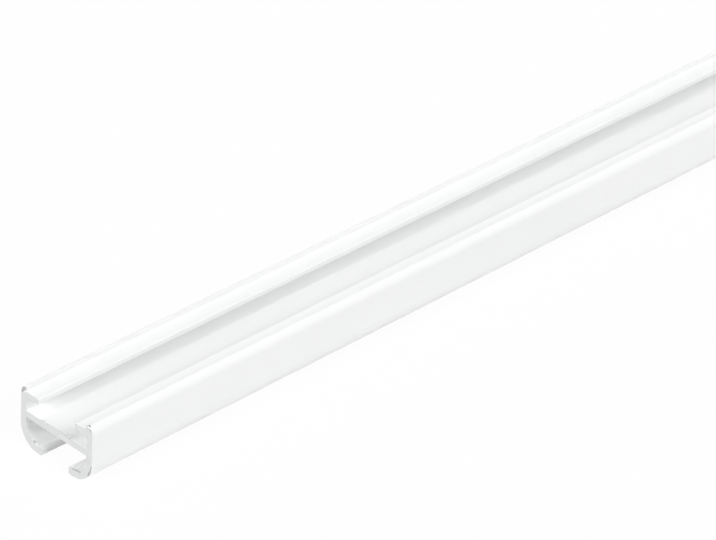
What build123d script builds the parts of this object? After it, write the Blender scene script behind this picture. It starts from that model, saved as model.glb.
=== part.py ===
"""Ceiling curtain track: one straight aluminium extrusion, sawn square at both ends.

X runs along the track, Y across it and Z up. The origin is at mid-length on the
ceiling plane, where the tops of the two ridges touch the ceiling. The upper channel
takes the ceiling clips and the lower channel takes the curtain gliders.
"""
from build123d import *
from math import sqrt
import os

# Driving dimensions, in millimetres
track_length = 300.0
section_width = 20.0
wall_thickness = 1.5

# Heights of the section, stacked from the lowest point up to the ceiling
glider_lip_thickness = 1.9
glider_channel_height = 4.7
web_thickness = 1.45
clip_channel_height = 2.9
clip_lip_thickness = 1.4
clip_recess_depth = 1.2

# Gaps between the two lips of each pair
glider_slot_width = 7.4
clip_mouth_width = 10.2

# Flats left between rounded edges
glider_bend_land = 0.4
glider_lip_tip_land = 0.55
ridge_land = 0.15

# Edge radii of the lips and the ridges
glider_lip_nose_radius = 0.55
clip_lip_edge_radius = 0.35
ridge_edge_radius = 0.15
ridge_round_radius = 1.9

# Fillets in the inner corners
clip_lip_root_radius = 0.9
ridge_foot_radius = 0.3
web_root_radius = 0.3

# Levels above the lowest point of the section
glider_lip_top = glider_lip_thickness
web_bottom = glider_lip_top + glider_channel_height
web_top = web_bottom + web_thickness
clip_lip_bottom = web_top + clip_channel_height
clip_lip_top = clip_lip_bottom + clip_lip_thickness
section_height = clip_lip_top + clip_recess_depth

# Sizes that follow from the driving ones
inner_width = section_width - 2 * wall_thickness
glider_lip_edge_radius = glider_lip_thickness - glider_lip_nose_radius - glider_lip_tip_land
glider_lip_end = max(glider_lip_nose_radius, glider_lip_edge_radius)
glider_lip_reach = (inner_width - glider_slot_width) / 2

# The bend from each side wall into its glider lip is as round as the lip and the channel allow
bend_room_across = glider_lip_reach - glider_lip_end - glider_bend_land
bend_room_upwards = glider_channel_height - web_root_radius - glider_bend_land
glider_bend_radius = min(bend_room_across, bend_room_upwards)
lower_corner_radius = glider_bend_radius + wall_thickness

# The round from each side wall up to its ridge ends at the ridge's land
ridge_round_width = min(ridge_round_radius, wall_thickness - ridge_land - ridge_edge_radius)
ridge_round_height = sqrt(ridge_round_width * (2 * ridge_round_radius - ridge_round_width))
ridge_round_top = section_height + ridge_round_radius - ridge_round_height


def corners(face, width, level):
    """The pair of corners of a face that stand width apart, at one level."""
    return [
        corner
        for corner in face.vertices()
        if abs(abs(corner.X) - width / 2) < 1e-6 and abs(corner.Y - level) < 1e-6
    ]


def strip(width, bottom, top, bottom_radius=None, top_radius=None):
    """A rectangle centred across the track, with a radius on its lower or upper corners."""
    face = Pos(0, bottom) * Rectangle(width, top - bottom, align=(Align.CENTER, Align.MIN))
    if bottom_radius:
        face = fillet(corners(face, width, bottom), bottom_radius)
    if top_radius:
        face = fillet(corners(face, width, top), top_radius)
    return face


def channels():
    """The open space inside the section: glider channel and slot, clip channel, mouth and recess."""
    glider_channel = strip(
        inner_width, glider_lip_top, web_bottom, glider_bend_radius, web_root_radius
    )
    clip_channel = strip(
        inner_width, web_top, clip_lip_bottom, web_root_radius, clip_lip_root_radius
    )
    clip_recess = strip(
        inner_width, clip_lip_top, section_height + clip_recess_depth, ridge_foot_radius
    )
    glider_slot = strip(glider_slot_width, -glider_lip_thickness, web_bottom)
    clip_mouth = strip(clip_mouth_width, web_top, section_height)
    return glider_channel + glider_slot + clip_channel + clip_mouth + clip_recess


def outline():
    """The outer shape, whose upper rounds aim past the ceiling plane and are cut flat there."""
    full_rounds = strip(section_width, 0, ridge_round_top, lower_corner_radius, ridge_round_radius)
    return full_rounds & strip(section_width, 0, section_height)


def track_section():
    """The section seen along the track, with its lowest point at level zero."""
    section = outline() - channels()
    rounded_edges = (
        (glider_slot_width, 0, glider_lip_nose_radius),
        (glider_slot_width, glider_lip_top, glider_lip_edge_radius),
        (clip_mouth_width, clip_lip_bottom, clip_lip_edge_radius),
        (clip_mouth_width, clip_lip_top, clip_lip_edge_radius),
        (inner_width, section_height, ridge_edge_radius),
    )
    for width, level, radius in rounded_edges:
        section = fillet(corners(section, width, level), radius)
    return section


def track_profile():
    """The section hung from the ceiling plane and drawn out along the track."""
    hung_section = Plane.YZ * Pos(0, -section_height) * track_section()
    return extrude(hung_section, track_length / 2, both=True)


os.makedirs("parts", exist_ok=True)
export_step(track_profile(), "parts/track_profile.step")
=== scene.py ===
"""Looks of the ceiling curtain track: white powder coat, and two sawn ends with the burrs left on one.

Metres, in the part's own frame: X along the track, Y across it and Z up, with the ceiling
plane at zero. The near end, which the camera sees, is at the lowest X.
"""
import math
import random

import bmesh
import bpy
from mathutils import Matrix, Vector


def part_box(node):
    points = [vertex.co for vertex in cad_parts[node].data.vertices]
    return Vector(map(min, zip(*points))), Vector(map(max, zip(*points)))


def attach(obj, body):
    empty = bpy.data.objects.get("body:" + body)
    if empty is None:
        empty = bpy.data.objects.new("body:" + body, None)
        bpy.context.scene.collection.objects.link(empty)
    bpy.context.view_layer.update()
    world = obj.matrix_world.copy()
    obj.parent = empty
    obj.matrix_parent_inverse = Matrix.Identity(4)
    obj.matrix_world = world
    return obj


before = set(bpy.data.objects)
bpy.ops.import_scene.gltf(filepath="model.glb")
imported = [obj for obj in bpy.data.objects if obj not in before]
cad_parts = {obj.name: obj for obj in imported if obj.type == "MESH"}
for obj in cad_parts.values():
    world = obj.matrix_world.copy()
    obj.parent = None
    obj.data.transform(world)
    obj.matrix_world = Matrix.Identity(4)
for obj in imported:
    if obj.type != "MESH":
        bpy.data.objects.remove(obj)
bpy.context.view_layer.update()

millimetre = 0.001
track_low, track_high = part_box("track_profile")
half_length = (track_high.x - track_low.x) / 2

# Camera: the photo's perspective, found from the track's own edges
picture_width = 716
picture_height = 540
near_end_pixel = Vector((56.1, 434.6))
near_end_height = 7.0 * millimetre
near_end_distance = 0.802
nearest_seen = 0.01
lens_length = 213.7
sensor_width = 36.0
sight_heading = math.radians(42.66)
sight_dip = math.radians(32.39)
camera_roll = math.radians(3.90)

# Studio: a white table under the track, a faint white tent and soft lamps
white = (1, 1, 1, 1)
table_size = 8.0
table_shade = (0.85, 0.85, 0.85, 1)
table_whiteness = 0.95
tent_level = 0.02
lamp_distance = 4.0
wide_lamp = math.radians(35)
narrow_lamp = math.radians(10)

# Relief of every finish
bump_depth = 0.02 * millimetre

# Powder coat: soft clouds of two whites under a fine orange peel, with noise scales per metre
dull_coat = (0.905, 0.91, 0.912, 1)
bright_coat = (0.925, 0.927, 0.925, 1)
cloud_scale = 35.0
peel_scale = 1400.0
coat_bump = 0.25

# Bare metal of the sawn ends: smears of two greys under the arcs of a large saw blade
dull_metal = (0.595, 0.603, 0.608, 1)
bright_metal = (0.68, 0.68, 0.68, 1)
metal_smear_scale = 420.0
saw_mark_scale = 900.0
blade_shift = (0, 0.07, 0.09)
cut_depth = 0.01 * millimetre

# Coat at the sawn ends: it laps over the ridges, its white there partly a painted highlight, and chips back
# where the noise is above a level
coat_lap_and_highlight = 0.6 * millimetre
chip_reach = 0.3 * millimetre
chip_scale = 1300.0
chip_level = 0.55

# Burrs, flakes and swarf
sliver_sides = 8
torn_smear_scale = 2600.0
torn_bump = 0.4


def photo_camera():
    """Puts the camera where a point on the near end's web falls on its own place in the picture."""
    level_sight = Vector((math.cos(sight_heading), math.sin(sight_heading), 0))
    upward = Vector((0, 0, 1))
    sight = level_sight * math.cos(sight_dip) - upward * math.sin(sight_dip)
    level_right = sight.cross(upward).normalized()
    level_up = level_right.cross(sight)
    right = level_right * math.cos(camera_roll) + level_up * math.sin(camera_roll)
    up = level_up * math.cos(camera_roll) - level_right * math.sin(camera_roll)

    near_end = Vector((track_low.x, 0, track_low.z + near_end_height))
    metres_per_pixel = near_end_distance * sensor_width / lens_length / picture_width
    rightward = (near_end_pixel.x - picture_width / 2) * metres_per_pixel
    downward = (near_end_pixel.y - picture_height / 2) * metres_per_pixel
    place = near_end - sight * near_end_distance - right * rightward + up * downward
    turn = Matrix((right, up, -sight)).transposed()

    data = bpy.data.cameras.new("photo_camera")
    data.lens = lens_length
    data.sensor_width = sensor_width
    data.clip_start = nearest_seen
    camera = bpy.data.objects.new("photo_camera", data)
    camera.matrix_world = Matrix.Translation(place) @ turn.to_4x4()
    bpy.context.scene.collection.objects.link(camera)
    bpy.context.scene.camera = camera


def node(tree, kind, inputs, **settings):
    """Adds a shader node with its settings, and sets or links its inputs."""
    made = tree.nodes.new("ShaderNode" + kind)
    for name, value in settings.items():
        setattr(made, name, value)
    for name, value in inputs.items():
        if isinstance(value, bpy.types.NodeSocket):
            tree.links.new(value, made.inputs[name])
        else:
            made.inputs[name].default_value = value
    return made


def math_node(tree, operation, first, second=0.0):
    """The output of a Math node."""
    return node(tree, "Math", {0: first, 1: second}, operation=operation).outputs[0]


def noise(tree, place, scale, detail):
    """A level from 0 to 1 that changes from place to place."""
    return node(tree, "TexNoise", {"Vector": place, "Scale": scale, "Detail": detail}).outputs["Fac"]


def ranged(tree, level, start, end):
    """A value that goes from start to end as the level goes from 0 to 1."""
    return node(tree, "MapRange", {"Value": level, "To Min": start, "To Max": end}).outputs[0]


def mix_shades(tree, share, first, second):
    """A colour that goes from the first to the second as the share goes from 0 to 1."""
    return node(tree, "Mix", {0: share, 6: first, 7: second}, data_type="RGBA").outputs[2]


def mix_values(tree, share, first, second):
    """A value that goes from the first to the second as the share goes from 0 to 1."""
    return node(tree, "Mix", {0: share, 2: first, 3: second}).outputs[0]


def mix_shaders(tree, share, first, second):
    """A shader that goes from the first to the second as the share goes from 0 to 1."""
    return node(tree, "MixShader", {0: share, 1: first.outputs[0], 2: second.outputs[0]})


def seen_directly(tree):
    """1 where a camera, mirror or glass ray looks, 0 where light is gathered."""
    path = node(tree, "LightPath", {})
    seen = math_node(tree, "MAXIMUM", path.outputs["Is Camera Ray"], path.outputs["Is Glossy Ray"])
    return math_node(tree, "MAXIMUM", seen, path.outputs["Is Transmission Ray"])


def new_material(name):
    """An empty material with its output node."""
    material = bpy.data.materials.new(name)
    material.use_nodes = True
    material.node_tree.nodes.clear()
    return material, node(material.node_tree, "OutputMaterial", {})


def white_tent():
    """A white world that also shows white behind the track."""
    world = bpy.data.worlds.new("white_tent")
    world.use_nodes = True
    tree = world.node_tree
    tree.nodes.clear()
    light = node(tree, "Background", {"Color": white, "Strength": tent_level})
    backdrop = node(tree, "Background", {"Color": white, "Strength": 1.0})
    shown = mix_shaders(tree, seen_directly(tree), light, backdrop)
    node(tree, "OutputWorld", {"Surface": shown.outputs[0]})
    bpy.context.scene.world = world


def table_white():
    """White table top that shows white to the camera and keeps a faint shadow."""
    material, output = new_material("table_white")
    tree = material.node_tree
    lit = node(tree, "BsdfDiffuse", {"Color": table_shade})
    glow = node(tree, "Emission", {"Color": white, "Strength": 1.0})
    faint = mix_shaders(tree, table_whiteness, lit, glow)
    shown = mix_shaders(tree, seen_directly(tree), lit, faint)
    tree.links.new(shown.outputs[0], output.inputs["Surface"])
    return material


def white_table():
    """The plain table that the track lies on."""
    mesh = bpy.data.meshes.new("white_table")
    shape = bmesh.new()
    bmesh.ops.create_grid(shape, x_segments=1, y_segments=1, size=table_size / 2)
    bmesh.ops.translate(shape, verts=shape.verts, vec=(0, 0, track_low.z))
    shape.to_mesh(mesh)
    shape.free()
    table = bpy.data.objects.new("white_table", mesh)
    mesh.materials.append(table_white())
    bpy.context.scene.collection.objects.link(table)


def soft_lamp(name, heading, height, level, spread=wide_lamp):
    """A soft lamp far away, its heading and height in degrees.

    The level is how bright a white card that faces the lamp would look.
    """
    data = bpy.data.lights.new(name, "SUN")
    data.angle = spread
    data.energy = level * math.pi
    turn = math.radians(heading)
    rise = math.radians(height)
    away = Vector((math.cos(turn) * math.cos(rise), math.sin(turn) * math.cos(rise), math.sin(rise)))
    lamp = bpy.data.objects.new(name, data)
    lamp.location = away * lamp_distance
    lamp.rotation_euler = away.to_track_quat("Z", "Y").to_euler()
    bpy.context.scene.collection.objects.link(lamp)


def studio_lamps():
    """Lamps on three sides of the table, with the near end in front."""
    soft_lamp("left_low_lamp", heading=90, height=12, level=0.16)
    soft_lamp("left_high_lamp", heading=90, height=60, level=0.12)
    soft_lamp("left_front_low_lamp", heading=135, height=12, level=0.12)
    soft_lamp("left_front_lamp", heading=135, height=35, level=0.05)
    soft_lamp("front_low_lamp", heading=180, height=12, level=0.80)
    soft_lamp("front_lamp", heading=180, height=35, level=0.35, spread=narrow_lamp)
    soft_lamp("right_lamp", heading=270, height=35, level=0.43)
    soft_lamp("right_high_lamp", heading=270, height=60, level=0.21)


def add_surface(tree, output, shade, metallic, roughness, relief, bump_strength):
    """Joins a surface with a fine bump to a material's output."""
    bump = node(tree, "Bump", {"Strength": bump_strength, "Distance": bump_depth, "Height": relief})
    surface = node(tree, "BsdfPrincipled", {
        "Base Color": shade,
        "Metallic": metallic,
        "Roughness": roughness,
        "Normal": bump.outputs[0],
    })
    tree.links.new(surface.outputs[0], output.inputs["Surface"])


def powder_coat(tree, place):
    """Shade, roughness and relief of the near white coat, with its orange peel."""
    clouds = noise(tree, place, cloud_scale, detail=2.0)
    peel = noise(tree, place, peel_scale, detail=2.0)
    shade = mix_shades(tree, clouds, dull_coat, bright_coat)
    roughness = ranged(tree, peel, start=0.36, end=0.46)
    return shade, roughness, peel


def sawn_metal(tree, place):
    """Shade, roughness and relief of bare metal, with shallow saw marks across it."""
    smears = noise(tree, place, metal_smear_scale, detail=3.0)
    blade = node(tree, "Mapping", {"Vector": place, "Location": blade_shift}).outputs[0]
    arcs = {"Vector": blade, "Scale": saw_mark_scale, "Distortion": 2.5, "Detail": 3.0, "Detail Scale": 1.5}
    marks = node(tree, "TexWave", arcs, wave_type="RINGS", rings_direction="X").outputs["Fac"]
    shade = mix_shades(tree, smears, dull_metal, bright_metal)
    roughness = ranged(tree, marks, start=0.38, end=0.55)
    return shade, roughness, marks


def bare_places(tree, place):
    """1 on the end faces below the ridges' tops and on the chips along their edges, 0 on the coat."""
    along, _, upward = node(tree, "SeparateXYZ", {0: place}).outputs
    from_middle = math_node(tree, "ABSOLUTE", along)
    end_face = math_node(tree, "GREATER_THAN", from_middle, half_length - cut_depth)

    chips = noise(tree, place, chip_scale, detail=4.0)
    chipped = math_node(tree, "MULTIPLY", chips, chip_reach)
    towards_end = math_node(tree, "ADD", from_middle, chipped)
    chipped_edge = math_node(tree, "GREATER_THAN", towards_end, half_length + chip_level * chip_reach)
    towards_top = math_node(tree, "ADD", upward, chipped)
    # Coat white kept over the ridges' cut tops: partly a painted highlight there
    below_lap = math_node(tree, "LESS_THAN", towards_top, track_high.z + chip_reach / 2 - coat_lap_and_highlight)

    without_lap = math_node(tree, "MAXIMUM", end_face, chipped_edge)
    return math_node(tree, "MULTIPLY", without_lap, below_lap)


def coated_aluminium():
    """White powder coat along the track, worn back from the bare metal of its sawn ends."""
    material, output = new_material("white_coat")
    tree = material.node_tree
    place = node(tree, "TexCoord", {}).outputs["Object"]
    bare = bare_places(tree, place)
    coat_shade, coat_roughness, peel = powder_coat(tree, place)
    metal_shade, metal_roughness, marks = sawn_metal(tree, place)
    shade = mix_shades(tree, bare, coat_shade, metal_shade)
    roughness = mix_values(tree, bare, coat_roughness, metal_roughness)
    relief = mix_values(tree, bare, peel, marks)
    add_surface(tree, output, shade, bare, roughness, relief, coat_bump)
    return material


def torn_edge(name, darkest, lightest, metallic):
    """The rough finish of a burr or flake, smeared between two levels of grey."""
    material, output = new_material(name)
    tree = material.node_tree
    place = node(tree, "TexCoord", {}).outputs["Object"]
    smears = noise(tree, place, torn_smear_scale, detail=3.0)
    dark_grey = (darkest, darkest, darkest, 1)
    light_grey = (lightest, lightest, lightest, 1)
    shade = mix_shades(tree, smears, dark_grey, light_grey)
    roughness = ranged(tree, smears, start=0.7, end=0.5)
    add_surface(tree, output, shade, metallic, roughness, smears, torn_bump)
    return material


def sliver_sections(path, depth, setback):
    """Where a unit circle goes along the path, squeezed there to the sliver's own width and depth."""
    out = Vector((-1, 0, 0))
    root = track_low.x + setback * millimetre
    half_depth = depth * millimetre / 2
    places = []
    for across, height, _ in path:
        places.append(Vector((root, -across * millimetre, track_low.z + height * millimetre)))
    sections = []
    for number, place in enumerate(places):
        before = places[max(number - 1, 0)]
        after = places[min(number + 1, len(places) - 1)]
        onward = (after - before).normalized()
        half_width = path[number][2] * millimetre / 2
        sideways = out.cross(onward) * half_width
        turned = Matrix((sideways, out * half_depth, onward * half_depth)).transposed()
        sections.append(Matrix.Translation(place + out * half_depth / 2) @ turned.to_4x4())
    return sections


def sliver_shape(sections):
    """A closed, smooth sliver drawn through its sections."""
    shape = bmesh.new()
    bmesh.ops.create_circle(shape, cap_ends=True, radius=1.0, segments=sliver_sides, matrix=sections[0])
    tip = shape.faces[:]
    left_behind = []
    for before, after in zip(sections, sections[1:]):
        drawn = bmesh.ops.extrude_face_region(shape, geom=tip)["geom"]
        left_behind += tip
        tip = [part for part in drawn if isinstance(part, bmesh.types.BMFace)]
        bmesh.ops.transform(shape, matrix=after @ before.inverted(), verts=tip[0].verts)

    # Of the faces left behind, the first closes the sliver and the rest lie inside it
    bmesh.ops.delete(shape, geom=left_behind[1:], context="FACES_ONLY")
    bmesh.ops.recalc_face_normals(shape, faces=shape.faces)
    for face in shape.faces:
        face.smooth = True
    return shape


def burr(name, path, depth, material, setback=0.0):
    """A torn sliver that lies flat on the near end, or crosswise a little way back from it.

    The path gives its places in millimetres, as across to the camera's right, height above the
    table and width there. The depth is how far it stands out from where it lies.
    """
    shape = sliver_shape(sliver_sections(path, depth, setback))
    mesh = bpy.data.meshes.new(name)
    shape.to_mesh(mesh)
    shape.free()
    mesh.materials.append(material)
    piece = bpy.data.objects.new(name, mesh)
    bpy.context.scene.collection.objects.link(piece)
    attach(piece, "root")


def ridge_burrs(metal):
    """The slivers on the two ridges of the near end, their dark grey partly painted shade."""
    left_ridge = [(-9.78, 11.86, 0.30), (-9.52, 12.44, 0.62), (-9.12, 12.96, 0.70), (-8.58, 13.32, 0.36)]
    right_ridge = [(8.60, 13.52, 0.12), (8.76, 13.60, 0.30), (9.00, 13.56, 0.26), (9.14, 13.44, 0.08)]
    right_hook = [(8.64, 13.02, 0.06), (8.52, 13.22, 0.12), (8.54, 13.44, 0.12), (8.66, 13.54, 0.06)]
    right_edge = [(8.72, 12.98, 0.10), (9.00, 13.08, 0.26), (9.32, 13.00, 0.28), (9.60, 12.82, 0.28),
                  (9.66, 12.62, 0.12)]
    burr("left_ridge_burr", left_ridge, depth=0.15, material=metal)
    burr("right_ridge_burr", right_ridge, depth=0.4, material=metal, setback=0.25)
    burr("right_ridge_hook", right_hook, depth=0.12, material=metal)
    burr("right_edge_burr", right_edge, depth=0.15, material=metal)


def glider_lip_burrs(metal):
    """The slivers on the two glider lips of the near end, their dark grey partly painted shade."""
    right_lip = [(4.78, 1.72, 0.20), (5.10, 1.76, 0.42), (5.60, 1.84, 0.30), (6.30, 1.90, 0.22),
                 (7.00, 1.98, 0.10)]
    right_bend = [(9.90, 5.00, 0.12), (9.86, 4.40, 0.24), (9.64, 3.60, 0.30), (9.40, 3.00, 0.50),
                  (9.12, 2.45, 0.26)]
    left_lip = [(-6.20, 2.38, 0.10), (-5.95, 2.20, 0.30), (-5.72, 2.08, 0.10)]
    burr("right_lip_burr", right_lip, depth=0.2, material=metal)
    burr("right_bend_burr", right_bend, depth=0.2, material=metal)
    burr("left_lip_burr", left_lip, depth=0.2, material=metal)


def near_end_burrs():
    """The slivers that the saw left on the near end, each along the edge that it tore from, in a dark grey
    that also paints the shade in and beside them.
    """
    # Torn metal darker than the cut: partly its own grey, partly painted shade in the burrs' folds and
    # along their edges
    metal = torn_edge("torn_metal_and_painted_shade", darkest=0.22, lightest=0.44, metallic=0.3)
    ridge_burrs(metal)
    glider_lip_burrs(metal)


def lifted_coat():
    """Two white flakes of coat that the saw lifted on the near end."""
    coat = torn_edge("lifted_coat", darkest=0.8, lightest=0.9, metallic=0.0)
    left_ridge = [(-8.95, 12.12, 0.10), (-8.75, 12.28, 0.26), (-8.58, 12.42, 0.10)]
    left_lip = [(-5.50, 2.20, 0.10), (-5.15, 2.05, 0.22), (-4.70, 1.88, 0.10)]
    burr("left_ridge_flake", left_ridge, depth=0.15, material=coat)
    burr("left_lip_flake", left_lip, depth=0.15, material=coat)


def web_edge_swarf():
    """A ragged line of swarf along the web's upper edge, in a grey darker than the cut that paints the
    shade along that edge.
    """
    # Grey below the cut metal's: painted shade along the ragged edge
    swarf = torn_edge("edge_swarf_and_painted_shade", darkest=0.46, lightest=0.54, metallic=0.1)
    chance = random.Random(4)
    web_edge = 8.1
    waver = 0.08
    thinnest = 0.1
    thickest = 0.42
    start = -4.6
    length = 7.2
    steps = 24
    ragged_edge = []
    for step in range(steps + 1):
        across = start + length * step / steps
        height = web_edge + chance.uniform(-waver, waver)
        width = chance.uniform(thinnest, thickest)
        ragged_edge.append((across, height, width))
    burr("web_edge_burr", ragged_edge, depth=0.1, material=swarf)


def swarf_curl():
    """A small curl of swarf that stands on the web's edge, its dark grey partly painted shade in and around
    the curl.
    """
    # Grey well below the cut metal's: painted shade of the curl's ring
    swarf = torn_edge("curl_swarf_and_painted_shade", darkest=0.36, lightest=0.46, metallic=0.1)
    middle_across = 3.5
    middle_height = 8.38
    first_radius = 0.52
    tightening = 0.1
    turns = 1.3
    steps = 16
    width = 0.14
    curl = []
    for step in range(steps + 1):
        share = step / steps
        angle = 2 * math.pi * turns * share - math.pi / 2
        radius = first_radius - tightening * share
        across = middle_across + radius * math.cos(angle)
        height = middle_height + radius * math.sin(angle)
        curl.append((across, height, width))
    burr("web_curl", curl, depth=0.12, material=swarf)


bpy.context.scene.view_settings.view_transform = "Standard"
photo_camera()
white_tent()
white_table()
studio_lamps()
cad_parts["track_profile"].material_slots[0].material = coated_aluminium()
near_end_burrs()
lifted_coat()
web_edge_swarf()
swarf_curl()
